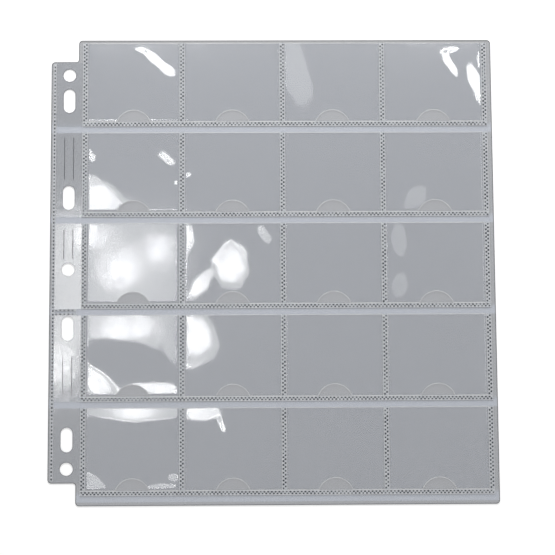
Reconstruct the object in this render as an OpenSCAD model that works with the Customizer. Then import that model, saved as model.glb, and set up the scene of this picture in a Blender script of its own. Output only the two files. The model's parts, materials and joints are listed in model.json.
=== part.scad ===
// Coin album page: a leaf of clear film with rows of open-topped pockets and a punched binder margin.
// The page lies on its back on z = 0, with the margin at -X and the pocket mouths towards +Y.

/* [Film] */
// Thickness of every sheet of film
film_t = 0.25; // [0.15:0.05:0.5]
// Air left between the two films of a closed pocket
pocket_slack = 0.3; // [0.2:0.1:1]
// Height of a weld bead above the back film
weld_t = 0.4; // [0.2:0.1:0.8]
// Gap between the film of a pocket front and the weld beside it
edge_gap = 0.3; // [0.2:0.05:0.5]
// Gap at the line where the film flexes between margin and leaf
flex_gap = 0.6; // [0.5:0.1:1.2]
// Radius of the outer corners of the page
corner_r = 2; // [0.5:0.5:5]

/* [Pocket columns] */
// Number of pockets in a row
columns = 4; // [2:1:6]
// Clear width of a pocket between its side welds
pocket_w = 52.2; // [40:0.1:70]
// Clear width of the pockets beside the margin
first_pocket_w = 50.3; // [40:0.1:70]
// Clear width of the pockets beside the free edge
last_pocket_w = 53.6; // [40:0.1:70]
// Width of a column weld
col_weld_w = 3; // [2:0.1:6]
// Film between the flex line and the first column weld
left_border = 2.2; // [1:0.1:6]
// Film between the last column weld and the free edge
right_border = 2.5; // [1:0.1:6]

/* [Pocket rows] */
// Number of rows of pockets
rows = 5; // [2:1:8]
// Depth of a pocket from its mouth to its bottom weld
pocket_depth = 44.4; // [35:0.1:60]
// Width of the weld that closes a row of pockets
row_weld_w = 2.6; // [1.5:0.1:5]
// Band of single film between a row weld and the next mouths
row_band = 3.4; // [2:0.1:8]
// Band of single film above the top mouths
top_band = 1.6; // [1:0.1:8]
// Band of single film below the last row weld
bottom_band = 5.3; // [2.5:0.1:10]

/* [Thumb notch] */
// Width of the notch in the front film, along the bottom weld
notch_w = 18; // [10:0.5:30]
// Height of the notch above the bottom weld
notch_h = 6.4; // [3:0.1:12]

/* [Binder margin] */
// Width of the margin from its edge to the flex line
margin_w = 15; // [12:0.5:25]
// Margin beyond the centres of the end ring holes
margin_end = 8.5; // [6:0.5:15]
// Radius of the inner corners between margin and leaf
fillet_r = 1.5; // [1:0.1:3]
// Width of the weld along the margin's edge
edge_weld_w = 1.6; // [1:0.1:3]
// Film outside the weld along the margin's edge
edge_weld_inset = 1.2; // [0.8:0.1:2]
// Width of each weld across the margin
cross_weld_w = 1.2; // [0.6:0.1:1.6]
// Row below which two welds cross the margin
cross_weld_row = 3; // [1:1:4]
// Air left between the two films of the margin
margin_slack = 0.1; // [0.05:0.05:0.3]

/* [Ring holes] */
// Distance of the hole line from the margin's edge
hole_inset = 10; // [8:0.1:11]
// Spacing of the round holes, for a three-ring binder
ring_spacing = 108; // [80:0.5:115]
// Diameter of a round hole
ring_hole_d = 7; // [5:0.1:8]
// Width of a slotted hole
slot_w = 6.4; // [4:0.1:8]
// Length of a slotted hole from end to end
slot_l = 13.2; // [9:0.1:18]
// Spacing of the outer pair of slots
outer_slot_spacing = 186; // [170:0.5:190]
// Middle of the outer pair of slots above the middle round hole
outer_slot_shift = 0.6; // [-3:0.1:3]
// Spacing of the inner pair of slots
inner_slot_spacing = 71.8; // [60:0.1:80]
// Middle of the inner pair of slots above the middle round hole
inner_slot_shift = 3.7; // [-5:0.1:5]
// Film left between a hole and the end of a strip of front film
hole_clear = 0.5; // [0.3:0.1:1]

/* [Hidden] */
$fn = 64;
film_colour = [0.67, 0.69, 0.72];
weld_colour = [0.58, 0.60, 0.64];

row_pitch = pocket_depth + row_weld_w + row_band;
page_h = top_band + rows * row_pitch - row_band + bottom_band;
pockets_w = first_pocket_w + (columns - 2) * pocket_w + last_pocket_w;
leaf_w = left_border + (columns + 1) * col_weld_w + pockets_w + right_border;
page_w = margin_w + leaf_w;
margin_h = 2 * ring_spacing + 2 * margin_end;
margin_x = -page_w / 2;
leaf_x = margin_x + margin_w;
ring_x = margin_x + hole_inset;
margin_front_x = margin_x + edge_weld_inset + edge_weld_w;
front_z = film_t + pocket_slack;
notch_r = (notch_w * notch_w / 4 + notch_h * notch_h) / (2 * notch_h);
// Length of a cut that passes clear through all the films
through = 10 * film_t;
// Middle and half length of every hole and slot along the margin
hole_spans = concat(
    [for (i = [-1:1]) [i * ring_spacing, ring_hole_d / 2]],
    [for (side = [-1, 1]) [outer_slot_shift + side * outer_slot_spacing / 2, slot_l / 2]],
    [for (side = [-1, 1]) [inner_slot_shift + side * inner_slot_spacing / 2, slot_l / 2]]
);

// Left edge and clear width of the pockets in a column
function pocket_x(c) =
    leaf_x + left_border + c * col_weld_w + (c == 1 ? 0 : first_pocket_w + (c - 2) * pocket_w);
function pocket_width(c) = c == 1 ? first_pocket_w : c == columns ? last_pocket_w : pocket_w;
// Left edge of a column weld, counted from 0 beside the margin
function col_weld_x(i) = i == 0 ? leaf_x + left_border : pocket_x(i) + pocket_width(i);
// Mouth of a row of pockets and the edges of the weld below it
function mouth_y(r) = page_h / 2 - top_band - (r - 1) * row_pitch;
function row_weld_top(r) = mouth_y(r) - pocket_depth;
function row_weld_bottom(r) = row_weld_top(r) - row_weld_w;
// A place along the margin moved, where a hole is nearer than reach, until it clears the hole
function clear_of_holes(y, reach, i = 0) =
    i == len(hole_spans) ? y
    : let (off = y - hole_spans[i][0], keep = hole_spans[i][1] + reach)
      clear_of_holes(abs(off) < keep ? hole_spans[i][0] + (off < 0 ? -keep : keep) : y, reach, i + 1);
// Middle of the band of single film below a row, where it runs on over the margin
function margin_band(r) =
    clear_of_holes(row_weld_bottom(r) - row_band / 2, row_band / 2 + hole_clear);

// Rectangle with round corners, from its lower left corner
module rounded_plan(x, y, w, h, r) {
    translate([x + r, y]) square([w - 2 * r, h]);
    translate([x, y + r]) square([w, h - 2 * r]);
    for (cx = [x + r, x + w - r], cy = [y + r, y + h - r]) {
        translate([cx, cy]) circle(r);
    }
}

// Hollow corner between the upper end of the margin and the leaf
module fillet_plan() {
    translate([leaf_x - fillet_r, margin_h / 2]) difference() {
        square(fillet_r);
        translate([0, fillet_r]) circle(fillet_r);
    }
}

// Outline of the margin, cut off short of the flex line
module margin_plan() {
    intersection() {
        translate([margin_x, -margin_h]) square([margin_w - flex_gap / 2, 2 * margin_h]);
        union() {
            rounded_plan(margin_x, -margin_h / 2, margin_w + corner_r, margin_h, corner_r);
            fillet_plan();
            mirror([0, 1]) fillet_plan();
        }
    }
}

// One slot of the punch, with its length along the page
module slot_punch(y) {
    straight = slot_l - slot_w;
    translate([ring_x, y, -through / 2]) {
        translate([-slot_w / 2, -straight / 2, 0]) cube([slot_w, straight, through]);
        for (end = [-straight / 2, straight / 2]) {
            translate([0, end, 0]) cylinder(h = through, d = slot_w);
        }
    }
}

// Every ring hole and slot of the margin
module margin_punch() {
    for (i = [-1:1]) {
        translate([ring_x, i * ring_spacing, -through / 2]) cylinder(h = through, d = ring_hole_d);
    }
    for (side = [-1, 1]) {
        slot_punch(outer_slot_shift + side * outer_slot_spacing / 2);
        slot_punch(inner_slot_shift + side * inner_slot_spacing / 2);
    }
}

// Back film of the margin, with the ring holes
module margin_back() {
    color(film_colour) difference() {
        linear_extrude(film_t) margin_plan();
        margin_punch();
    }
}

// Stretch of a row's front film that runs on over the margin, between two bands of single film
module margin_front(r) {
    top = r == 1 ? margin_h / 2 + fillet_r : margin_band(r - 1) - row_band / 2;
    bottom = r == rows ? -margin_h / 2 - fillet_r : margin_band(r) + row_band / 2;
    color(film_colour) difference() {
        translate([0, 0, film_t + margin_slack]) linear_extrude(film_t) intersection() {
            margin_plan();
            translate([margin_front_x, bottom]) square([margin_w, top - bottom]);
        }
        margin_punch();
    }
}

// Weld down the outer edge of the margin
module margin_edge_weld() {
    color(weld_colour)
        translate([margin_x + edge_weld_inset, -margin_h / 2 + corner_r, film_t])
            cube([edge_weld_w, margin_h - 2 * corner_r, margin_slack + film_t]);
}

// Pair of welds across the margin, one at each side of a band of single film
module margin_cross_weld() {
    length = leaf_x - flex_gap / 2 - margin_front_x;
    band_low = margin_band(cross_weld_row) - row_band / 2;
    color(weld_colour) for (y = [band_low, band_low + row_band - cross_weld_w]) {
        translate([margin_front_x, y, film_t]) cube([length, cross_weld_w, margin_slack + film_t]);
    }
}

// Back film of the leaf, which closes every pocket from behind
module leaf_back() {
    color(film_colour) linear_extrude(film_t)
        rounded_plan(leaf_x + flex_gap / 2, -page_h / 2, leaf_w - flex_gap / 2, page_h, corner_r);
}

// Weld that closes the bottom of a row of pockets
module row_weld(r) {
    length = col_weld_x(columns) + col_weld_w - col_weld_x(0);
    color(weld_colour)
        translate([col_weld_x(0), row_weld_bottom(r), film_t]) cube([length, row_weld_w, weld_t]);
}

// Welds between two columns of pockets, broken at the bands between the rows
module column_weld(i) {
    color(weld_colour) for (r = [1:rows]) {
        translate([col_weld_x(i), row_weld_top(r), film_t]) cube([col_weld_w, pocket_depth, weld_t]);
    }
}

// Front film of one pocket, with its thumb notch on the bottom weld
module pocket_front(r, c) {
    width = pocket_width(c);
    color(film_colour) difference() {
        translate([pocket_x(c) + edge_gap, row_weld_top(r) + edge_gap, front_z])
            cube([width - 2 * edge_gap, pocket_depth - edge_gap, film_t]);
        translate([pocket_x(c) + width / 2, row_weld_top(r) + notch_h - notch_r, front_z - through / 2])
            cylinder(h = through, r = notch_r);
    }
}

margin_back();
margin_edge_weld();
margin_cross_weld();
leaf_back();
for (r = [1:rows]) margin_front(r);
for (r = [1:rows]) row_weld(r);
for (i = [0:columns]) column_weld(i);
for (r = [1:rows], c = [1:columns])
    pocket_front(r, c);
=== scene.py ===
"""Clear coin album page: a welded film leaf with rows of open-topped pockets and a punched
binder margin."""
import json
import math

import bmesh
import bpy
import numpy as np
from mathutils import Euler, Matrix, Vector


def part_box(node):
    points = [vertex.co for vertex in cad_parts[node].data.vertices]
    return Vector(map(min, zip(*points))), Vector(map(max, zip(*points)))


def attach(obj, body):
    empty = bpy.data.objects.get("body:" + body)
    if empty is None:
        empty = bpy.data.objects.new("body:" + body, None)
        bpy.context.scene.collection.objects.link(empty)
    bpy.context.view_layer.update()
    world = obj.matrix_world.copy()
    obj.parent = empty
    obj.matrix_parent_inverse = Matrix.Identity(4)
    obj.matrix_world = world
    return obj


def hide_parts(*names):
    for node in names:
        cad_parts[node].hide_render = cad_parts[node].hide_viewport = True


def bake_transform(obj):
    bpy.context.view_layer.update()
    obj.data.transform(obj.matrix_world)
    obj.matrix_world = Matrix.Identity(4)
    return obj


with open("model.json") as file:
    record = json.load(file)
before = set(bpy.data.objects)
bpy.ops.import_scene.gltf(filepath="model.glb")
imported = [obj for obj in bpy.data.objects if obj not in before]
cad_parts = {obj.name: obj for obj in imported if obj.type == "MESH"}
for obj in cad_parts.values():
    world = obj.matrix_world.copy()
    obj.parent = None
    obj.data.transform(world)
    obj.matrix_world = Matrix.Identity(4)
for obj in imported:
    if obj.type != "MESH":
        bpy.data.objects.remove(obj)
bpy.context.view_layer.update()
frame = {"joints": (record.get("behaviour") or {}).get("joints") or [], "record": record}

bl_info = {
    "name": "Coin Album Page",
    "version": (1, 0, 0),
    "blender": (4, 5, 0),
    "location": "View3D > Sidebar > Album Page",
    "description": "Dresses a clear film album page with welded pockets around its packed frame",
    "category": "Object",
}

MM = 0.001
MOUNTS = {m["name"]: m for m in frame["record"]["mounts"]}
ROWS, COLUMNS = 5, 4


def linear(hex_code):
    """Linear colour of an sRGB hex value."""
    parts = [int(hex_code[i:i + 2], 16) / 255 for i in (1, 3, 5)]
    return tuple(p / 12.92 if p <= 0.04045 else ((p + 0.055) / 1.055) ** 2.4 for p in parts)


def length(name, description, mm):
    """A length setting given in millimetres."""
    return bpy.props.FloatProperty(name=name, description=description, default=mm * MM,
                                   precision=5, unit="LENGTH")


def angle(name, description, degrees):
    """An angle setting given in degrees."""
    return bpy.props.FloatProperty(name=name, description=description,
                                   default=math.radians(degrees), unit="ROTATION")


def colour(name, description, hex_code):
    """A colour setting given as sRGB hex."""
    return bpy.props.FloatVectorProperty(name=name, description=description,
                                         default=linear(hex_code), min=0, max=1, size=3,
                                         subtype="COLOR")


def share(name, description, value):
    """A setting from 0 to 1."""
    return bpy.props.FloatProperty(name=name, description=description, default=value, min=0, max=1,
                                   subtype="FACTOR")


class FilmSettings(bpy.types.PropertyGroup):
    """Sizes and colours of the clear film."""
    thickness: length("Film Thickness", "Thickness of each sheet of film", 0.25)
    rim: length("Cut Rim", "Width of the line of light along a cut edge", 0.35)
    corner: length("Corner Radius", "Radius of the page's outer corners", 2)
    fillet: length("Inner Corner Radius", "Radius between the margin and the leaf", 1.5)
    flex_reach: length("Flex Reach", "Film to each side of the flex line that bends", 2.1)
    notch_width: length("Notch Width", "Width of a thumb notch along the bottom weld", 18)
    notch_height: length("Notch Height", "Height of a thumb notch above the bottom weld", 6.4)
    grid: length("Relief Grid", "Spacing of the points that carry the film's puckers", 0.7)
    hold: length("Hold Reach", "Distance over which a weld draws the front film down", 1.2)
    held: length("Held Height", "Height of the front film where a weld holds it", 0.45)
    lift: length("Slack Lift", "Rise of the front film from its welds to its middle", 0.15)
    back_colour: colour("Back Film", "Colour of the back film", "#858fa1")
    front_colour: colour("Front Film", "Colour of the pocket fronts", "#7084a4")
    margin_colour: colour("Margin Film", "Colour of the strips over the margin", "#8c94a1")
    # painted shade: the cut outline is coloured dark for the dark that its edge refracts; the pressed
    # lines share this colour
    cut_colour: colour("Cut Edge", "Colour of the page's cut outline", "#3e424a")
    # painted highlight: the cut mouth and notch are coloured light, as an edge catching the light
    mouth_highlight_colour: colour("Mouth Edge", "Colour of a pocket's cut mouth and notch", "#eceef2")
    back_cover: share("Back Cover", "How much one face of the back film covers", 0.365)
    front_cover: share("Front Cover", "How much one face of a pocket front covers", 0.11)
    margin_cover: share("Margin Cover", "How much one face of a margin strip covers", 0.24)


class WeldSettings(bpy.types.PropertyGroup):
    """Sizes and colours of the knurled weld seams."""
    bead: length("Bead Radius", "Radius of the bead along each side of a weld", 0.25)
    # the real dots stand about 1.6 mm apart, too fine to show, and are drawn coarser
    pitch: length("Knurl Pitch", "Distance between two dots of a row", 2)
    dot: length("Dot Radius", "Radius of a knurl dot", 0.53)
    dot_height: length("Dot Height", "Height of a knurl dot over the weld", 0.12)
    cross_width: length("Cross Weld Width", "Width of each weld across the margin", 1.2)
    bed_colour: colour("Weld Bed", "Colour of the fused film", "#e6ebf5")
    # painted highlight: the beads and the light dots are coloured as film catching the light
    bead_highlight_colour: colour("Weld Bead", "Colour of the beads and of the raised dots", "#f0f4fd")
    # painted shade: the dark dots are coloured as the shade in pressed dents, though they stand up
    # like the light ones
    dot_shade_colour: colour("Knurl Dot", "Colour of the pressed dots", "#3a404c")


class StageSettings(bpy.types.PropertyGroup):
    """Camera, floor and studio light."""
    distance: length("Camera Distance", "Distance of the camera from the page", 900)
    shift_x: length("Camera Shift X", "Move of the camera to its right", 2.578)
    shift_y: length("Camera Shift Y", "Move of the camera upwards in its view", -4.739)
    lens: bpy.props.FloatProperty(name="Lens", default=106.95,
                                  description="Focal length on a 36 mm sensor, in millimetres")
    tilt: angle("Tilt", "Lean of the camera towards the page's foot", 6.852)
    yaw: angle("Yaw", "Lean of the camera towards the margin", -0.935)
    roll: angle("Roll", "Turn of the camera about its view", -0.233)
    floor_colour: colour("Floor", "Colour of the floor", "#ededed")
    floor_glow: share("Floor Glow", "White that the floor adds where it is seen", 0.42)
    ambient: share("Ambient", "Strength of the light from all round", 0.37)


def node(tree, kind, settings=None, inputs=None):
    """Adds a node with its settings. An input is a value, or the output socket of another node."""
    made = tree.nodes.new(kind)
    for key, value in (settings or {}).items():
        setattr(made, key, value)
    for key, value in (inputs or {}).items():
        if isinstance(value, bpy.types.NodeSocket):
            tree.links.new(value, made.inputs[key])
        else:
            made.inputs[key].default_value = value
    return made


def maths(tree, operation, first, second):
    """Output of a node that does one sum."""
    return node(tree, "ShaderNodeMath", {"operation": operation}, {0: first, 1: second}).outputs[0]


def noise(tree, where, size_mm, detail):
    """Output of a noise whose spots are about so many millimetres across."""
    return node(tree, "ShaderNodeTexNoise", inputs={
        "Vector": where, "Scale": 1 / (size_mm * MM), "Detail": detail}).outputs["Fac"]


def map_range(tree, value, start, end, low, high):
    """Output of a node that maps start to low and end to high."""
    return node(tree, "ShaderNodeMapRange", inputs={
        "Value": value, "From Min": start, "From Max": end, "To Min": low, "To Max": high,
    }).outputs["Result"]


def clouded(tree, tint, amount, spread):
    """A tint that a noise makes lighter and darker by a spread. Returns the colour's socket."""
    light, dark = [tuple(min(1, c * k) for c in tint) + (1,) for k in (1 + spread, 1 - spread)]
    return node(tree, "ShaderNodeMix", {"data_type": "RGBA"},
                {0: amount, 6: dark, 7: light}).outputs[2]


def new_material(name):
    """An empty material and its tree."""
    material = bpy.data.materials.new(name)
    material.use_nodes = True
    material.node_tree.nodes.clear()
    return material, material.node_tree


# widths of the clouds and of the haze in the film, in millimetres, and how far they change it
CLOUD_MM, CLOUD_SPREAD = 30, 0.04
HAZE_MM, HAZE_RANGE, HAZE_GLOSS = 4, (0.3, 0.7), (0.8, 1.25)
# painted shade on the back film's tint: its share in a pocket, in a band and above the first mouth,
# and where the last starts
POCKET_PAINTED_SHADE, BAND_SHADE, EDGE_PAINTED_SHADE, EDGE_START = 0.42, 1.15, 0.15, -0.2 * MM


def film_material(name, tint, cover, rough, index, ripple_mm, ripple_depth, rows=None):
    """Calendered soft PVC film: clear grey, glossy, with faint clouds and the slow ripple left by
    the rollers. rows holds the first mouth's place along Y, the depth of a pocket, the width of
    its weld and the pitch of the rows: then the tint carries painted shade, darker where the
    front film lies over it, lighter in the bands between the rows, and darkest above the first
    mouth, painted as the shade where the film's edge bends away from the light."""
    tree = new_material(name)[1]
    where = node(tree, "ShaderNodeTexCoord").outputs["Object"]
    tone = clouded(tree, tint, noise(tree, where, CLOUD_MM, 2.0), CLOUD_SPREAD)
    # painted shade: the tint is darker in the pockets under the front film, lighter in the bands and
    # darkest above the first mouth
    if rows:
        mouth, depth, weld, pitch = rows
        place = node(tree, "ShaderNodeSeparateXYZ", inputs={"Vector": where}).outputs["Y"]
        drop = maths(tree, "SUBTRACT", mouth, place)
        fall = maths(tree, "FLOORED_MODULO", drop, pitch)
        band = map_range(tree, fall, depth, depth + weld, POCKET_PAINTED_SHADE, BAND_SHADE)
        edge = map_range(tree, drop, EDGE_START, 0.0, EDGE_PAINTED_SHADE, 1.0)
        shade = maths(tree, "MULTIPLY", band, edge)
        tone = node(tree, "ShaderNodeMix", {"data_type": "RGBA", "blend_type": "MULTIPLY"},
                    {0: 1.0, 6: tone, 7: shade}).outputs[2]
    # the haze changes the gloss a little
    haze = noise(tree, where, HAZE_MM, 3.0)
    gloss = map_range(tree, haze, *HAZE_RANGE, *[rough * k for k in HAZE_GLOSS])
    ripple = noise(tree, where, ripple_mm, 1.0)
    bump = node(tree, "ShaderNodeBump", inputs={
        "Height": ripple, "Distance": ripple_depth * MM, "Strength": 1.0})
    shader = node(tree, "ShaderNodeBsdfPrincipled", inputs={
        "Base Color": tone, "Roughness": gloss, "Normal": bump.outputs["Normal"], "IOR": index,
        "Alpha": cover, "Specular IOR Level": 1.0})
    node(tree, "ShaderNodeOutputMaterial", inputs={"Surface": shader.outputs["BSDF"]})


GRAIN_SPREAD, GRAIN_DEPTH, GRAIN_STRENGTH = 0.2, 0.05 * MM, 0.6
EDGE_ROUGHNESS, PVC_INDEX = 0.32, 1.53


def edge_material(name, tint, cover, grain_mm):
    """A cut or fused edge of the film: less clear than its faces, with a slight grain along it."""
    tree = new_material(name)[1]
    where = node(tree, "ShaderNodeTexCoord").outputs["Object"]
    grain = noise(tree, where, grain_mm, 2.0)
    tone = clouded(tree, tint, grain, GRAIN_SPREAD)
    bump = node(tree, "ShaderNodeBump", inputs={
        "Height": grain, "Distance": GRAIN_DEPTH, "Strength": GRAIN_STRENGTH})
    shader = node(tree, "ShaderNodeBsdfPrincipled", inputs={
        "Base Color": tone, "Roughness": EDGE_ROUGHNESS, "Normal": bump.outputs["Normal"],
        "IOR": PVC_INDEX, "Alpha": cover})
    node(tree, "ShaderNodeOutputMaterial", inputs={"Surface": shader.outputs["BSDF"]})


# name, setting of the colour and cover, roughness, index of refraction, width and depth of the
# ripple in millimetres. The front films' high index stands in for the glare of a polished face.
FILMS = (("Soft PVC back film", "back", 0.35, PVC_INDEX, 25, 0.02),
         ("Soft PVC front film", "front", 0.075, 2.4, 11, 0.03),
         ("Soft PVC margin film", "margin", 0.085, 2.2, 9, 0.03))
# name, setting of the colour, cover of one face, width of the grain in millimetres
# the outline's dark colour is painted shade for the refraction at the cut edge
FILM_EDGES = (("Cut PVC outline", "cut_colour", 0.75, 1.5),
              # the mouth's light colour is a painted highlight
              ("Cut PVC mouth", "mouth_highlight_colour", 0.5, 3),
              ("Pressed PVC line", "cut_colour", 0.45, 1))
WELD_EDGES = (("Fused PVC bed", "bed_colour", 0.5, 1.2),
              ("Squeezed PVC bead", "bead_highlight_colour", 0.65, 2.5),
              ("Knurled PVC dot", "dot_shade_colour", 0.75, 0.6))


def edge_materials(settings, edges):
    """Makes the materials of a table of edges."""
    for name, key, cover, grain_mm in edges:
        edge_material(name, tuple(getattr(settings, key)), cover, grain_mm)


def film_materials():
    """All materials, with the film's made once."""
    film = bpy.context.scene.album_film
    if not bpy.data.materials.get(FILMS[0][0]):
        mouth, (low, high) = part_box("pocket_front_r1c1")[1].y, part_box("row_weld_1")
        rows = (mouth, mouth - high.y, high.y - low.y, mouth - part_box("pocket_front_r2c1")[1].y)
        for name, key, rough, index, ripple_mm, ripple_depth in FILMS:
            film_material(name, tuple(getattr(film, key + "_colour")), getattr(film, key + "_cover"),
                          rough, index, ripple_mm, ripple_depth, rows if key == "back" else None)
        edge_materials(film, FILM_EDGES)
    return bpy.data.materials


def weld_materials():
    """All materials, with the weld's made once."""
    if not bpy.data.materials.get(WELD_EDGES[0][0]):
        edge_materials(bpy.context.scene.album_weld, WELD_EDGES)
    return bpy.data.materials


def finish_piece(name, mesh, materials, nodes, body=None, blend=None):
    """Links a finished mesh, gives it its materials and hides the parts it replaces. Without a blend
    it is tied to its body; with one, its place is only baked into its points.
    """
    piece = bpy.data.objects.new(name, mesh)
    bpy.context.scene.collection.objects.link(piece)
    for material in materials:
        mesh.materials.append(material)
    if blend:
        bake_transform(piece)
    else:
        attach(piece, body)
    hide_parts(*nodes)


def axis_loop(corners, inset, steps=8):
    """Points of an outline with square corners made round, drawn in by inset. Counter-clockwise."""
    points = []
    count = len(corners)
    for i, (x, y, radius) in enumerate(corners):
        here = Vector((x, y))
        come = (here - Vector(corners[i - 1][:2])).normalized()
        go = (Vector(corners[(i + 1) % count][:2]) - here).normalized()
        in_come, in_go = Vector((-come.y, come.x)), Vector((-go.y, go.x))
        convex = come.x * go.y - come.y * go.x > 0
        sign = 1 if convex else -1
        centre = here + sign * radius * (in_come + in_go)
        reach = radius - sign * inset
        for k in range(steps + 1):
            turn = k / steps * math.pi / 2
            points.append(centre - sign * reach * (in_come * math.cos(turn) + in_go * math.sin(turn)))
    return points


def slot_loop(x, y, radius, straight, inset, steps=20):
    """Points of a round hole or a slot along Y, with the film drawn back by inset."""
    points = []
    for k in range(2 * steps):
        turn = math.pi * (k + 0.5) / steps
        shift = straight / 2 if turn < math.pi else -straight / 2
        points.append(Vector((x + (radius + inset) * math.cos(turn),
                              y + shift + (radius + inset) * math.sin(turn))))
    return points


def hole_loops(bottom, top):
    """Outlines of the holes and slots between two places along Y, as functions of the inset. Their
    sizes come from the mounts of the record."""
    found = []
    for mount in MOUNTS.values():
        dims, (x, y, _) = mount["dims"], mount["pos_m"]
        if mount["kind"] == "bore":
            found.append((x, y, dims["r_mm"] * MM, 0.0))
        elif mount["kind"] == "bolt_pattern":
            straight = (dims["slot_length_mm"] - 2 * dims["hole_r_mm"]) * MM
            for side in (-1, 1):
                place = y + side * dims["spacing_y_mm"] * MM / 2
                found.append((x, place, dims["hole_r_mm"] * MM, straight))
    return [lambda inset, hole=hole: slot_loop(*hole, inset) for hole in found
            if bottom < hole[1] < top]


def plate(loops, rim, low, thick):
    """A flat sheet as a bmesh. loops are functions of the inset, the outline first and then the
    holes. Faces along every cut have material 1, the rest 0."""
    sheet = bmesh.new()
    inner_edges = []
    for loop in loops:
        outer = [sheet.verts.new((p.x, p.y, low)) for p in loop(0)]
        inner = [sheet.verts.new((p.x, p.y, low)) for p in loop(rim)]
        for k in range(len(outer)):
            face = sheet.faces.new((outer[k - 1], outer[k], inner[k], inner[k - 1]))
            face.material_index = 1
            inner_edges.append(sheet.edges.get((inner[k - 1], inner[k])))
    filled = bmesh.ops.triangle_fill(sheet, use_beauty=True, use_dissolve=False, edges=inner_edges)
    for face in filled["geom"]:
        if isinstance(face, bmesh.types.BMFace):
            face.material_index = 0
    bmesh.ops.recalc_face_normals(sheet, faces=sheet.faces)
    raised = bmesh.ops.extrude_face_region(sheet, geom=list(sheet.faces), use_keep_orig=True)
    for item in raised["geom"]:
        if isinstance(item, bmesh.types.BMVert):
            item.co.z += thick
    bmesh.ops.recalc_face_normals(sheet, faces=sheet.faces)
    return sheet


# cuts to each side of the flex line, and the distance in metres at which points merge with a cut
FLEX_CUTS, CUT_MERGE = 6, 1e-7


def leaf_left():
    """The flex line's place."""
    return next(j for j in frame["joints"] if j["name"] == "leaf_turn")["pos_m"][0]


def cut_for_flex(sheet, film):
    """Cuts a sheet at the flex line and beside it."""
    flex, normal = leaf_left(), Vector((1, 0, 0))
    for k in range(-FLEX_CUTS, FLEX_CUTS + 1):
        place = flex + k / FLEX_CUTS * film.flex_reach
        geom = list(sheet.verts) + list(sheet.edges) + list(sheet.faces)
        bmesh.ops.bisect_plane(sheet, geom=geom, plane_co=normal * place, plane_no=normal,
                               dist=CUT_MERGE)


def flex_blend(film):
    """The bodies to either side of the flex line, and the ends of the band around it."""
    reach = Vector((film.flex_reach, 0, 0))
    at = Vector((leaf_left(), 0, 0))
    return "binder_margin", "leaf", at - reach, at + reach


def to_mesh(name, sheet, crease=math.radians(35)):
    """A bmesh as a smooth mesh with its sharp edges kept."""
    for edge in sheet.edges:
        edge.smooth = len(edge.link_faces) == 2 and edge.calc_face_angle(0) < crease
    for face in sheet.faces:
        face.smooth = True
    mesh = bpy.data.meshes.new(name)
    sheet.to_mesh(mesh)
    sheet.free()
    return mesh


class ALBUM_OT_back_film(bpy.types.Operator):
    """Make the back film, one sheet from the punched margin to the free edge"""
    bl_idname = "album.back_film"
    bl_label = "Back Film"

    def execute(self, context):
        film = context.scene.album_film
        made = film_materials()
        low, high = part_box("leaf_back")
        margin_low, margin_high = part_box("margin_back")
        flex = leaf_left()
        end = margin_high.y - film.fillet
        corners = [
            (flex, low.y, film.corner), (high.x, low.y, film.corner),
            (high.x, high.y, film.corner), (flex, high.y, film.corner),
            (flex, end, film.fillet), (margin_low.x, end, film.corner),
            (margin_low.x, -end, film.corner), (flex, -end, film.fillet)]
        loops = [lambda inset: axis_loop(corners, inset)] + hole_loops(low.y, high.y)
        sheet = plate(loops, film.rim, low.z, film.thickness)
        cut_for_flex(sheet, film)
        finish_piece("back_film", to_mesh("back_film", sheet),
                     [made["Soft PVC back film"], made["Cut PVC outline"]],
                     ["leaf_back", "margin_back"], blend=flex_blend(film))
        return {"FINISHED"}


# pressed lines of the margin: the row, the distance below the strip's upper end and the length, and
# the distances from the margin's edge, in millimetres
PRESSED = [(2, 2.4, 24), (3, 3, 17), (4, 22, 22)]
PRESSED_INSETS = (7.6, 12.5)
PRESSED_WIDTH, PRESSED_TAPER, PRESSED_TIP = 0.35 * MM, 0.6 * MM, 0.1
# section of a pressed line, as shares of half its width and of its height, a third of its width
PRESSED_SECTION = ((-1, 0), (-0.4, 1), (0.4, 1), (1, 0))


def pressed_line(sheet, x, top, span, z):
    """A fine rib along Y with pointed ends."""
    ring = []
    for drop, size in ((0, PRESSED_TIP), (PRESSED_TAPER, 1), (span - PRESSED_TAPER, 1),
                       (span, PRESSED_TIP)):
        width = size * PRESSED_WIDTH
        ring.append([sheet.verts.new((x + s * width / 2, top - drop, z + h * width / 3))
                     for s, h in PRESSED_SECTION])
    faces = []
    for a, b in zip(ring, ring[1:]):
        for k in range(4):
            faces.append(sheet.faces.new((a[k], a[(k + 1) % 4], b[(k + 1) % 4], b[k])))
    faces.append(sheet.faces.new(ring[0][::-1]))
    faces.append(sheet.faces.new(ring[-1]))
    for face in faces:
        face.material_index = 2
    bmesh.ops.recalc_face_normals(sheet, faces=faces)


# share of the rim that a strip's outline is drawn in, so that its small corners stay round
STRIP_INSET = 0.9


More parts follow.
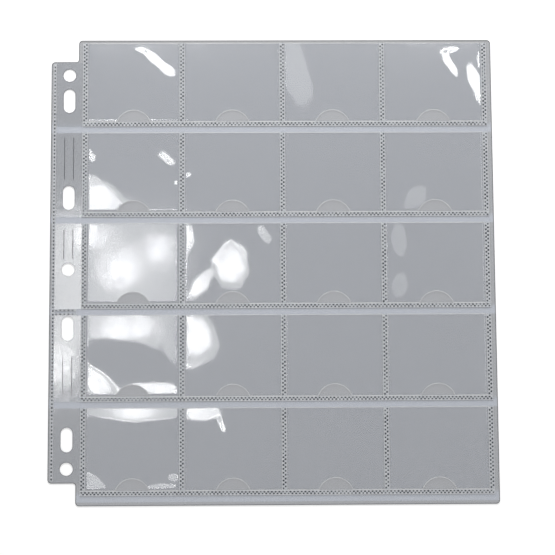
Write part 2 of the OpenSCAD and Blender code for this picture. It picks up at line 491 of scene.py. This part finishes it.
class ALBUM_OT_margin_strips(bpy.types.Operator):
    """Make the strips of front film that run on over the binder margin"""
    bl_idname = "album.margin_strips"
    bl_label = "Margin Strips"

    def execute(self, context):
        film = context.scene.album_film
        made = film_materials()
        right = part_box("column_weld_0")[0].x
        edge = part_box("margin_back")[0].x
        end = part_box("margin_back")[1].y - film.fillet
        for row in range(1, ROWS + 1):
            name = "margin_front_%d" % row
            low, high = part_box(name)
            top, bottom = high.y, low.y
            if row == 1:
                top = end - film.rim
            if row == ROWS:
                bottom = -end + film.rim
            corners = [(low.x, bottom, film.rim), (right, bottom, film.rim),
                       (right, top, film.rim), (low.x, top, film.rim)]
            loops = [lambda inset, c=corners: axis_loop(c, inset * STRIP_INSET, 2)]
            sheet = plate(loops + hole_loops(bottom, top), film.rim, low.z, film.thickness)
            cut_for_flex(sheet, film)
            for strip, drop, span in PRESSED:
                if strip == row:
                    for inset in PRESSED_INSETS:
                        pressed_line(sheet, edge + inset * MM, high.y - drop * MM, span * MM, high.z)
            finish_piece("strip_%d" % row, to_mesh(name, sheet),
                         [made["Soft PVC margin film"], made["Soft PVC margin film"],
                          made["Pressed PVC line"]], [name], blend=flex_blend(film))
        return {"FINISHED"}


# puckers of the pocket fronts by row and column: place from the pocket's middle, half length and
# half width in millimetres, turn of the length, tilt and the heading that it rises towards in
# degrees, and how far the outline wanders from an oval in millimetres
PUCKERS = {
    (1, 1): [(14.5, 10.5, 11.5, 3, -42, 2.1, -90, 0.6), (4.5, 18.2, 4, 1.5, -5, 1.7, -90, 0.4)],
    (1, 3): [(-20, 3, 24, 8.5, -74, 2.5, -92, 0.5)],
    (1, 4): [(10, 10, 9, 2.3, -66, 2.1, -92, 0.6), (9.5, 17.6, 5.5, 1.7, 12, 1.7, -92, 0.4),
             (24.5, -2.5, 13, 4.2, -75, 2.7, -84, 0.6), (26, 12, 5, 1.6, 85, 2, -88, 0.4)],
    (2, 1): [(-19, -15, 22, 10.5, -36, 2.08, 108, 0.8), (18.5, 7.5, 6, 3, -28, 2.64, 85, 0.8),
             (-24, 9.5, 4.5, 2.4, 110, 2.24, 94, 0.8), (23.5, -6, 2.3, 1.3, 30, 2, 76, 0.5)],
    (2, 2): [(-24, -2, 3, 1.3, 35, 2.3, 69, 0.5)],
    (2, 4): [(-11.5, -15, 9, 5.5, 48, 3.6, 180, 0.6)],
    (3, 2): [(0, -1, 14.5, 10, 76, 3.1, 2, 1), (-18, -12, 10, 4.3, 48, 2.21, -12, 0.8),
             (-25, 14, 8, 3.4, 90, 2, 26, 0.6), (17.4, 16, 7, 3, -54, 3.5, 24, 0.6)],
    (3, 4): [(-20, 12, 11, 4.8, -80, 4.1, 180, 0.6), (-20, -13, 8, 5, 85, 4.1, 180, 0.6)],
    (4, 1): [(-3, -2.5, 25, 9, -12, 2.5, 90, 0.2), (25, 2, 7, 12, 0, 1, -90, 0.5),
             (-21, -15, 18, 8, -32, 3.26, -103, 0.5), (13, -19, 17, 5.5, -6, 1.91, -63, 0.5)],
    (4, 2): [(-22, 8, 15, 14.5, 90, 2.9, -42, 0.8)],
    (5, 1): [(0, 20.5, 27, 6, -2, 4, -85, 0.3), (-22, -18.5, 8.5, 6, -30, 5.65, -81, 0.4),
             (22.2, -15, 3.2, 2.4, 0, 6.25, -60, 0.2), (15.5, -20.2, 9, 2.4, 2, 6.3, -63, 0.2)],
    (5, 2): [(-16, 19, 13.5, 5.3, -2, 3.18, -47.4, 0.4), (-6.3, 12, 5, 2.2, -65, 3.78, -45, 0.5)],
}
# a pucker's outline wanders in waves of 25 and 9 mm, which are these lengths times two pi
WAVE_LONG, WAVE_SHORT = 0.004, 0.0015
# power of a pucker's fall at its rim, and the share of its size at which it leaves the film's level
RIM_POWER, RIM_START = 3, 0.7
# part of the hold reach over which the film's own slope is measured
SLOPE_STEP = 1 / 20


def smooth_step(t):
    """0 below 0, 1 above 1, with soft ends."""
    t = np.clip(t, 0, 1)
    return t * t * (3 - 2 * t)


def front_shape(x, y, box, puckers, film):
    """Height of the lower face of a pocket front and its slopes along X and Y. The welds hold it
    down and it puckers between them. The slopes follow each pucker's tilt alone, so that it
    mirrors the light as one soft patch."""
    (left, right), (bottom, top) = box

    def held_at(x, y):
        return (smooth_step((x - left) / film.hold * 2) * smooth_step((right - x) / film.hold * 2)
                * smooth_step((y - bottom) / film.hold))

    held, step = held_at(x, y), film.hold * SLOPE_STEP
    slope_x = film.lift * (held_at(x + step, y) - held_at(x - step, y)) / (2 * step)
    slope_y = film.lift * (held_at(x, y + step) - held_at(x, y - step)) / (2 * step)
    height = film.held + film.lift * held
    for px, py, half_u, half_v, turn, tilt, heading, wander in puckers:
        dx = x - (left + right) / 2 + wander * MM * np.sin(y / WAVE_LONG + px) - px * MM
        dy = y - (bottom + top) / 2 + wander * MM * np.sin(x / WAVE_LONG + py) - py * MM
        dx, dy = (dx + wander / 2 * MM * np.sin(dy / WAVE_SHORT),
                  dy + wander / 2 * MM * np.sin(dx / WAVE_SHORT))
        turn, heading = math.radians(turn), math.radians(heading)
        u = (math.cos(turn) * dx + math.sin(turn) * dy) / (half_u * MM)
        v = (math.cos(turn) * dy - math.sin(turn) * dx) / (half_v * MM)
        slope = held * math.tan(math.radians(tilt)) * np.exp(-(u * u + v * v) ** RIM_POWER)
        reach = RIM_START * MM * math.hypot(half_u * math.cos(heading - turn),
                                            half_v * math.sin(heading - turn))
        height = height + slope * (math.cos(heading) * dx + math.sin(heading) * dy + reach)
        slope_x = slope_x + slope * math.cos(heading)
        slope_y = slope_y + slope * math.sin(heading)
    return height, slope_x, slope_y


# columns of points close to a side weld, and the shares of the hold reach between them
CLOSE_COLUMNS, CLOSE_STEP = 4, 1 / 8
# the columns over a notch bend away from its arc within this share of their height
ARC_BEND = 1 / 4


def notch_grid(box, film, side):
    """Points of one half of a pocket front, as columns from its outer weld to its middle. Each
    column starts at the bottom weld or on the notch's arc, and ends at the mouth. side is -1 for
    the left half and 1 for the right."""
    (left, right), (bottom, top) = box
    middle, half = (left + right) / 2, (right - left) / 2
    w, h = film.notch_width / 2, film.notch_height
    radius = (w * w + h * h) / (2 * h)
    arc_y = bottom + h - radius
    plain = max(2, round((half - w) / film.grid))
    # close columns where the weld draws the film down
    offs = [half - film.hold * k * CLOSE_STEP for k in range(CLOSE_COLUMNS)]
    offs += list(np.linspace(half - film.hold * CLOSE_COLUMNS * CLOSE_STEP, w, plain + 1)[:-1])
    columns = [((off, bottom), (off, bottom + film.rim)) for off in offs]
    widest = math.asin(min(1.0, w / radius))
    if h > radius:
        widest = math.pi - widest
    around = max(6, round(widest * radius / film.grid))
    for k in range(around + 1):
        turn = widest * (1 - k / around)
        outer = radius + film.rim
        columns.append((
            (radius * math.sin(turn), max(bottom, arc_y + radius * math.cos(turn))),
            (outer * math.sin(turn), max(bottom + film.rim / 2, arc_y + outer * math.cos(turn)))))
    rows = max(4, round((top - bottom) / film.grid))
    run = np.linspace(0, 1, rows)
    bend = np.clip(1 - run / ARC_BEND, 0, 1)
    xs, ys = [], []
    for (x0, y0), (x1, y1) in columns:
        ys.append(np.concatenate(([y0], y1 + (top - film.rim - y1) * run, [top])))
        xs.append(np.concatenate(([x0], x0 + (x1 - x0) * bend, [x0])))
    x = middle + side * np.array(xs)
    y = np.array(ys)
    if side > 0:
        x, y = x[::-1], y[::-1]
    return x, y


def film_patch(name, x, y, shape, thick, rim_rows):
    """A thin closed sheet over a grid of points, with the film's own smooth normals, so that halves
    meet unseen. rim_rows are the rows of faces along a cut, which have material 1."""
    n, m = x.shape
    low, slope_x, slope_y = shape
    normal = np.stack([-slope_x, -slope_y, np.ones_like(x)], -1)
    normal /= np.linalg.norm(normal, axis=-1, keepdims=True)
    points = np.concatenate([np.stack([x, y, low + thick], -1).reshape(-1, 3),
                             np.stack([x, y, low], -1).reshape(-1, 3)])
    under = n * m
    at = np.arange(n * m).reshape(n, m)
    quads = np.stack([at[:-1, :-1], at[1:, :-1], at[1:, 1:], at[:-1, 1:]], -1)
    mark = np.zeros((n - 1, m - 1), int)
    for k in rim_rows:
        mark[:, k] = 1
    top = quads.reshape(-1, 4)
    bottom = top[:, ::-1] + under
    ring = np.concatenate([at[:, 0], at[-1, 1:], at[-2::-1, -1], at[0, -2:0:-1]])
    after = np.roll(ring, -1)
    walls = np.stack([after, ring, ring + under, after + under], -1)
    faces = np.concatenate([top, bottom, walls])
    mesh = bpy.data.meshes.new(name)
    mesh.from_pydata(points.tolist(), [], faces.tolist())
    on_seam = ((np.isin(ring, at[0]) & np.isin(after, at[0]))
               | (np.isin(ring, at[-1]) & np.isin(after, at[-1])))
    marks = np.concatenate([mark.ravel(), mark.ravel(), np.where(on_seam, 0, 1)])
    mesh.polygons.foreach_set("material_index", marks.astype(np.int32))
    mesh.polygons.foreach_set("use_smooth", np.ones(len(faces), bool))
    mesh.update()
    flat = normal.reshape(-1, 3)
    corners = points[walls]
    wall_normal = np.cross(corners[:, 1] - corners[:, 0], corners[:, 3] - corners[:, 0])
    wall_normal /= np.linalg.norm(wall_normal, axis=-1, keepdims=True) + 1e-12
    loops = np.concatenate([flat[top].reshape(-1, 3), -flat[top[:, ::-1]].reshape(-1, 3),
                            np.repeat(wall_normal, 4, axis=0)])
    mesh.normals_split_custom_set(loops.tolist())
    return mesh


class ALBUM_OT_pocket_fronts(bpy.types.Operator):
    """Make the twenty pocket fronts, each in two halves"""
    bl_idname = "album.pocket_fronts"
    bl_label = "Pocket Fronts"

    def execute(self, context):
        film = context.scene.album_film
        made = film_materials()
        for row in range(1, ROWS + 1):
            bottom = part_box("row_weld_%d" % row)[1].y
            for col in range(1, COLUMNS + 1):
                cell = "r%dc%d" % (row, col)
                low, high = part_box("pocket_front_" + cell)
                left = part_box("column_weld_%d" % (col - 1))[1].x
                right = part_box("column_weld_%d" % col)[0].x
                box = ((left, right), (bottom, high.y))
                puckers = PUCKERS.get((row, col), [])
                middle = (left + right) / 2
                for side, part, outer in ((-1, "left", left), (1, "right", right)):
                    name = "front_%s_%s" % (cell, part)
                    x, y = notch_grid(box, film, side)
                    shape = front_shape(x, y, box, puckers, film)
                    mesh = film_patch(name, x, y, shape, film.thickness, (0, -1))
                    finish_piece(name, mesh, [made["Soft PVC front film"], made["Cut PVC mouth"]],
                                 ["pocket_front_" + cell],
                                 blend=("leaf", "pocket_" + cell, (outer, high.y, low.z),
                                        (middle, high.y, low.z)))
        return {"FINISHED"}


# sides of a bead and of a dot, a dot's top as a share of its foot, and the spread of the dots' size
BEAD_SIDES, DOT_SIDES, DOT_TOP, DOT_SIZES = 6, 6, 0.6, (0.75, 1.2)


def weld_tree():
    """Geometry nodes of a weld: a flat bed along each line, a bead down each side and two rows of
    dots in which dark ones, painted as the shade of pressed dents, take turns with light ones
    painted as glints. The beads wear the same painted highlight as the light dots."""
    tree = bpy.data.node_groups.get("Knurled weld")
    if tree:
        return tree
    tree = bpy.data.node_groups.new("Knurled weld", "GeometryNodeTree")
    face = tree.interface
    face.new_socket("Lines", in_out="INPUT", socket_type="NodeSocketGeometry")
    for name in ("Width", "Height", "Bead Radius", "Pitch", "Dot Radius", "Dot Height",
                 "Row Offset"):
        face.new_socket(name, in_out="INPUT", socket_type="NodeSocketFloat")
    face.new_socket("Seed", in_out="INPUT", socket_type="NodeSocketInt")
    face.new_socket("Two Rows", in_out="INPUT", socket_type="NodeSocketBool")
    for name in ("Bed Material", "Bead Material", "Dot Material"):
        face.new_socket(name, in_out="INPUT", socket_type="NodeSocketMaterial")
    face.new_socket("Weld", in_out="OUTPUT", socket_type="NodeSocketGeometry")
    given = node(tree, "NodeGroupInput").outputs

    def painted(geometry, material):
        return node(tree, "GeometryNodeSetMaterial", inputs={
            "Geometry": geometry, "Material": given[material]}).outputs["Geometry"]

    def swept(curve, profile):
        return node(tree, "GeometryNodeCurveToMesh", inputs={
            "Curve": curve, "Profile Curve": profile, "Fill Caps": True}).outputs["Mesh"]

    def scaled_sum(vector, factor, start):
        return node(tree, "ShaderNodeVectorMath", {"operation": "MULTIPLY_ADD"},
                    {0: vector, 1: factor, 2: start}).outputs["Vector"]

    def moved(geometry, offset):
        return node(tree, "GeometryNodeSetPosition", inputs={
            "Geometry": geometry, "Offset": offset}).outputs["Geometry"]

    line = node(tree, "GeometryNodeMeshToCurve", inputs={"Mesh": given["Lines"]}).outputs["Curve"]
    line = node(tree, "GeometryNodeSetCurveNormal", {"mode": "Z_UP"},
                {"Curve": line}).outputs["Curve"]
    across = node(tree, "GeometryNodeInputNormal").outputs["Normal"]
    along = node(tree, "GeometryNodeInputTangent").outputs["Tangent"]
    bed_shape = node(tree, "GeometryNodeCurvePrimitiveQuadrilateral", inputs={
        "Width": given["Width"], "Height": given["Height"]}).outputs["Curve"]
    parts = [painted(swept(line, bed_shape), "Bed Material")]
    half = maths(tree, "MULTIPLY", given["Width"], 0.5)
    rise = maths(tree, "MULTIPLY", given["Height"], 0.5)
    inset = maths(tree, "SUBTRACT", half, given["Bead Radius"])
    up = node(tree, "ShaderNodeCombineXYZ", inputs={"Z": rise}).outputs["Vector"]
    round_shape = node(tree, "GeometryNodeCurvePrimitiveCircle", inputs={
        "Resolution": BEAD_SIDES, "Radius": given["Bead Radius"]}).outputs["Curve"]
    for side in (-1.0, 1.0):
        shift = scaled_sum(across, maths(tree, "MULTIPLY", inset, side), up)
        parts.append(painted(swept(moved(line, shift), round_shape), "Bead Material"))
    cone = node(tree, "GeometryNodeMeshCone", inputs={
        "Vertices": DOT_SIDES, "Side Segments": 1, "Fill Segments": 1,
        "Radius Top": maths(tree, "MULTIPLY", given["Dot Radius"], DOT_TOP),
        "Radius Bottom": given["Dot Radius"], "Depth": given["Dot Height"]}).outputs["Mesh"]
    marked = node(tree, "GeometryNodeStoreNamedAttribute", {"data_type": "BOOLEAN", "domain": "FACE"},
                  {"Geometry": cone, "Name": "knurl", "Value": True}).outputs["Geometry"]
    # the light dots wear the painted highlight, as glints
    raised = painted(cone, "Bead Material")
    whole = node(tree, "GeometryNodeSplineLength").outputs["Length"]
    trimmed = node(tree, "GeometryNodeTrimCurve", {"mode": "LENGTH"}, {
        "Curve": line, 4: maths(tree, "MULTIPLY", given["Pitch"], 0.5),
        5: maths(tree, "SUBTRACT", whole, given["Pitch"])}).outputs["Curve"]
    step = node(tree, "GeometryNodeResampleCurve", {"mode": "LENGTH"},
                {"Curve": trimmed, "Length": given["Pitch"]}).outputs["Curve"]
    for side, phase, shape in ((-1.0, 0.0, marked), (1.0, 0.5, marked),
                               (-1.0, 0.5, raised), (1.0, 0.0, raised)):
        reach = maths(tree, "MULTIPLY", given["Row Offset"], side)
        lag = maths(tree, "MULTIPLY", given["Pitch"], phase)
        spots = moved(step, scaled_sum(along, lag, scaled_sum(across, reach, up)))
        size = node(tree, "FunctionNodeRandomValue", {"data_type": "FLOAT"},
                    {2: DOT_SIZES[0], 3: DOT_SIZES[1], "Seed": given["Seed"]}).outputs[1]
        dots = node(tree, "GeometryNodeInstanceOnPoints", inputs={
            "Points": spots, "Instance": shape, "Scale": size,
            "Selection": given["Two Rows"] if side > 0 else True})
        parts.append(dots.outputs["Instances"])
    joined = node(tree, "GeometryNodeJoinGeometry")
    for part in parts:
        tree.links.new(part, joined.inputs[0])
    real = node(tree, "GeometryNodeRealizeInstances", inputs={"Geometry": joined.outputs[0]})
    knurl = node(tree, "GeometryNodeInputNamedAttribute", {"data_type": "BOOLEAN"},
                 {"Name": "knurl"})
    # the dark dots wear the painted shade of pressed dents
    final = node(tree, "GeometryNodeSetMaterial", inputs={
        "Geometry": real.outputs["Geometry"], "Selection": knurl.outputs["Attribute"],
        "Material": given["Dot Material"]})
    node(tree, "NodeGroupOutput", inputs={"Weld": final.outputs["Geometry"]})
    return tree


# parts of a weld's width that a bead's radius and a row's distance from the middle are, and the
# width in dot radii above which a weld has two rows of dots
BEAD_PART, ROW_PART, TWO_ROWS_WIDTH = 8, 5, 4


def weld_piece(cad_node, lines, width, height, seed, body):
    """One weld along straight lines, made by the weld's node tree and kept as a plain mesh. A
    narrow weld has one row of dots."""
    name = "knurled_" + cad_node
    made = weld_materials()
    tree = weld_tree()
    weld = bpy.context.scene.album_weld
    two_rows = width > TWO_ROWS_WIDTH * weld.dot
    values = {
        "Width": width, "Height": height, "Bead Radius": min(weld.bead, width / BEAD_PART),
        "Pitch": weld.pitch, "Dot Radius": weld.dot, "Dot Height": weld.dot_height,
        "Row Offset": width / ROW_PART if two_rows else 0.0, "Seed": seed, "Two Rows": two_rows,
        "Bed Material": made["Fused PVC bed"], "Bead Material": made["Squeezed PVC bead"],
        "Dot Material": made["Knurled PVC dot"]}
    mesh = bpy.data.meshes.new(name)
    points = [tuple(p) for line in lines for p in line]
    mesh.from_pydata(points, [(2 * k, 2 * k + 1) for k in range(len(lines))], [])
    guide = bpy.data.objects.new(name + "_line", mesh)
    bpy.context.scene.collection.objects.link(guide)
    modifier = guide.modifiers.new("weld", "NODES")
    modifier.node_group = tree
    for item in tree.interface.items_tree:
        if item.in_out == "INPUT" and item.name in values:
            modifier[item.identifier] = values[item.name]
    graph = bpy.context.evaluated_depsgraph_get()
    result = bpy.data.meshes.new_from_object(guide.evaluated_get(graph), depsgraph=graph)
    bpy.data.objects.remove(guide)
    bpy.data.meshes.remove(mesh)
    result.name = name
    finish_piece(name, result, [], [cad_node], body=body)


# seeds of the dots' sizes: a row weld's is its number, a column weld's is its number more than this
COLUMN_SEED, MARGIN_EDGE_SEED, MARGIN_CROSS_SEED = 20, 41, 42


class ALBUM_OT_leaf_welds(bpy.types.Operator):
    """Make the knurled welds that close the pockets"""
    bl_idname = "album.leaf_welds"
    bl_label = "Leaf Welds"

    def execute(self, context):
        for row in range(1, ROWS + 1):
            name = "row_weld_%d" % row
            low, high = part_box(name)
            middle = (low + high) / 2
            line = (Vector((low.x, middle.y, middle.z)), Vector((high.x, middle.y, middle.z)))
            weld_piece(name, [line], high.y - low.y, high.z - low.z, row, "leaf")
        for col in range(COLUMNS + 1):
            name = "column_weld_%d" % col
            low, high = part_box(name)
            middle = (low + high) / 2
            lines = []
            for row in range(1, ROWS + 1):
                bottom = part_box("row_weld_%d" % row)[1].y
                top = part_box("pocket_front_r%dc1" % row)[1].y
                lines.append((Vector((middle.x, bottom, middle.z)),
                              Vector((middle.x, top, middle.z))))
            weld_piece(name, lines, high.x - low.x, high.z - low.z, COLUMN_SEED + col, "leaf")
        return {"FINISHED"}


class ALBUM_OT_margin_welds(bpy.types.Operator):
    """Make the welds down and across the binder margin"""
    bl_idname = "album.margin_welds"
    bl_label = "Margin Welds"

    def execute(self, context):
        low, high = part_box("margin_edge_weld")
        middle = (low + high) / 2
        line = (Vector((middle.x, low.y, middle.z)), Vector((middle.x, high.y, middle.z)))
        weld_piece("margin_edge_weld", [line], high.x - low.x, high.z - low.z, MARGIN_EDGE_SEED,
                   "binder_margin")
        low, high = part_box("margin_cross_weld")
        middle = (low + high) / 2
        width = context.scene.album_weld.cross_width
        lines = [(Vector((low.x, y, middle.z)), Vector((high.x, y, middle.z)))
                 for y in (low.y + width / 2, high.y - width / 2)]
        weld_piece("margin_cross_weld", lines, width, high.z - low.z, MARGIN_CROSS_SEED,
                   "binder_margin")
        return {"FINISHED"}


FLOOR_HALF, FLOOR_Z = 4, -0.4 * MM
SENSOR, CLIP_START = 36, 0.01
# name, shape, place and aim in metres, width and height in metres, radiance. A lamp without an aim
# points straight down. All but the first stand where the puckers mirror them.
LAMPS = (
    ("window_key", "RECTANGLE", (0, 0.55, 0.6), (0, 0, 0), (0.3, 0.3), 12),
    ("softbox", "RECTANGLE", (-0.233, 0.172, 1.5), None, (0.25, 0.194), 3),
    ("bulb_1", "ELLIPSE", (-0.24, 0.24, 1.49), None, (0.05, 0.032), 10.5),
    ("bulb_2", "ELLIPSE", (-0.2, 0.188, 1.49), None, (0.055, 0.05), 10.5),
    ("bulb_3", "ELLIPSE", (-0.146, 0.214, 1.49), None, (0.034, 0.04), 10.5),
    ("bulb_4", "ELLIPSE", (-0.194, 0.1, 1.49), None, (0.09, 0.034), 10.5),
    ("softbox_end", "RECTANGLE", (-0.295, 0.05, 1.5), None, (0.06, 0.07), 7.3),
    ("top_left", "RECTANGLE", (-0.16, 0.61, 1.5), None, (0.2, 0.12), 11.8),
    ("top_middle", "RECTANGLE", (0.06, 0.61, 1.5), None, (0.18, 0.12), 1.8),
    ("top_right", "RECTANGLE", (0.31, 0.61, 1.5), None, (0.22, 0.12), 11.8),
    ("side_right", "RECTANGLE", (0.415, 0.2, 1.5), None, (0.12, 0.46), 1.3),
)


class ALBUM_OT_stage(bpy.types.Operator):
    """Set the pale floor, the studio light and the camera"""
    bl_idname = "album.stage"
    bl_label = "Stage"

    def execute(self, context):
        stage = context.scene.album_stage
        scene = context.scene
        scene.view_settings.view_transform = "Standard"
        self.floor(stage)
        self.world(scene, stage)
        self.lamps(scene)
        self.camera(scene, stage)
        return {"FINISHED"}

    def seen(self, tree):
        """1 for rays of sight and reflection, and 0 for rays of light."""
        path = node(tree, "ShaderNodeLightPath").outputs
        both = maths(tree, "MAXIMUM", path["Is Camera Ray"], path["Is Glossy Ray"])
        return maths(tree, "MAXIMUM", both, path["Is Transmission Ray"])

    def floor(self, stage):
        mesh = bpy.data.meshes.new("floor")
        corners = [(x * FLOOR_HALF, y * FLOOR_HALF, FLOOR_Z)
                   for x, y in ((-1, -1), (1, -1), (1, 1), (-1, 1))]
        mesh.from_pydata(corners, [], [(0, 1, 2, 3)])
        floor = bpy.data.objects.new("floor", mesh)
        bpy.context.scene.collection.objects.link(floor)
        material, tree = new_material("Matt paper floor")
        diffuse = node(tree, "ShaderNodeBsdfDiffuse",
                       inputs={"Color": tuple(stage.floor_colour) + (1,)})
        amount = maths(tree, "MULTIPLY", self.seen(tree), stage.floor_glow)
        glow = node(tree, "ShaderNodeEmission", inputs={"Strength": amount})
        both = node(tree, "ShaderNodeAddShader", inputs={0: diffuse.outputs[0], 1: glow.outputs[0]})
        node(tree, "ShaderNodeOutputMaterial", inputs={"Surface": both.outputs[0]})
        mesh.materials.append(material)

    def world(self, scene, stage):
        world = bpy.data.worlds.new("studio")
        scene.world = world
        world.use_nodes = True
        tree = world.node_tree
        tree.nodes.clear()
        level = map_range(tree, self.seen(tree), 0.0, 1.0, stage.ambient, 1.0)
        sky = node(tree, "ShaderNodeBackground", inputs={"Color": (1, 1, 1, 1), "Strength": level})
        node(tree, "ShaderNodeOutputWorld", inputs={"Surface": sky.outputs[0]})

    def lamps(self, scene):
        for name, shape, place, aim, size, radiance in LAMPS:
            lamp = bpy.data.lights.new(name, "AREA")
            lamp.shape = shape
            lamp.size, lamp.size_y = size
            area = size[0] * size[1] * (math.pi / 4 if shape == "ELLIPSE" else 1)
            lamp.energy = radiance * math.pi * area
            holder = bpy.data.objects.new(name, lamp)
            scene.collection.objects.link(holder)
            holder.location = place
            if aim:
                sight = Vector(aim) - Vector(place)
                holder.rotation_euler = sight.to_track_quat("-Z", "Y").to_euler()

    def camera(self, scene, stage):
        lens = bpy.data.cameras.new("camera")
        lens.lens, lens.sensor_width = stage.lens, SENSOR
        lens.clip_start = CLIP_START
        camera = bpy.data.objects.new("camera", lens)
        scene.collection.objects.link(camera)
        camera.rotation_mode = "ZYX"
        camera.rotation_euler = Euler((stage.tilt, stage.yaw, stage.roll), "ZYX")
        place = Vector((stage.shift_x, stage.shift_y, stage.distance))
        camera.location = camera.rotation_euler.to_matrix() @ place
        scene.camera = camera


class ALBUM_PT_panel(bpy.types.Panel):
    """Lists the page's steps and settings"""
    bl_idname = "ALBUM_PT_panel"
    bl_label = "Album Page"
    bl_space_type = "VIEW_3D"
    bl_region_type = "UI"
    bl_category = "Album Page"

    def draw(self, context):
        for step in STEPS:
            self.layout.operator(step.bl_idname)
        for group in (context.scene.album_film, context.scene.album_weld,
                      context.scene.album_stage):
            box = self.layout.box()
            for key in group.__annotations__:
                box.prop(group, key)


STEPS = (ALBUM_OT_back_film, ALBUM_OT_margin_strips, ALBUM_OT_pocket_fronts, ALBUM_OT_leaf_welds,
         ALBUM_OT_margin_welds, ALBUM_OT_stage)
CLASSES = (FilmSettings, WeldSettings, StageSettings) + STEPS + (ALBUM_PT_panel,)


def register():
    for cls in CLASSES:
        bpy.utils.register_class(cls)
    bpy.types.Scene.album_film = bpy.props.PointerProperty(type=FilmSettings)
    bpy.types.Scene.album_weld = bpy.props.PointerProperty(type=WeldSettings)
    bpy.types.Scene.album_stage = bpy.props.PointerProperty(type=StageSettings)


def unregister():
    for name in ("album_film", "album_weld", "album_stage"):
        delattr(bpy.types.Scene, name)
    for cls in reversed(CLASSES):
        bpy.utils.unregister_class(cls)


def main():
    register()
    bpy.ops.album.back_film()
    bpy.ops.album.margin_strips()
    bpy.ops.album.pocket_fronts()
    bpy.ops.album.leaf_welds()
    bpy.ops.album.margin_welds()
    bpy.ops.album.stage()


if __name__ == "__main__":
    main()
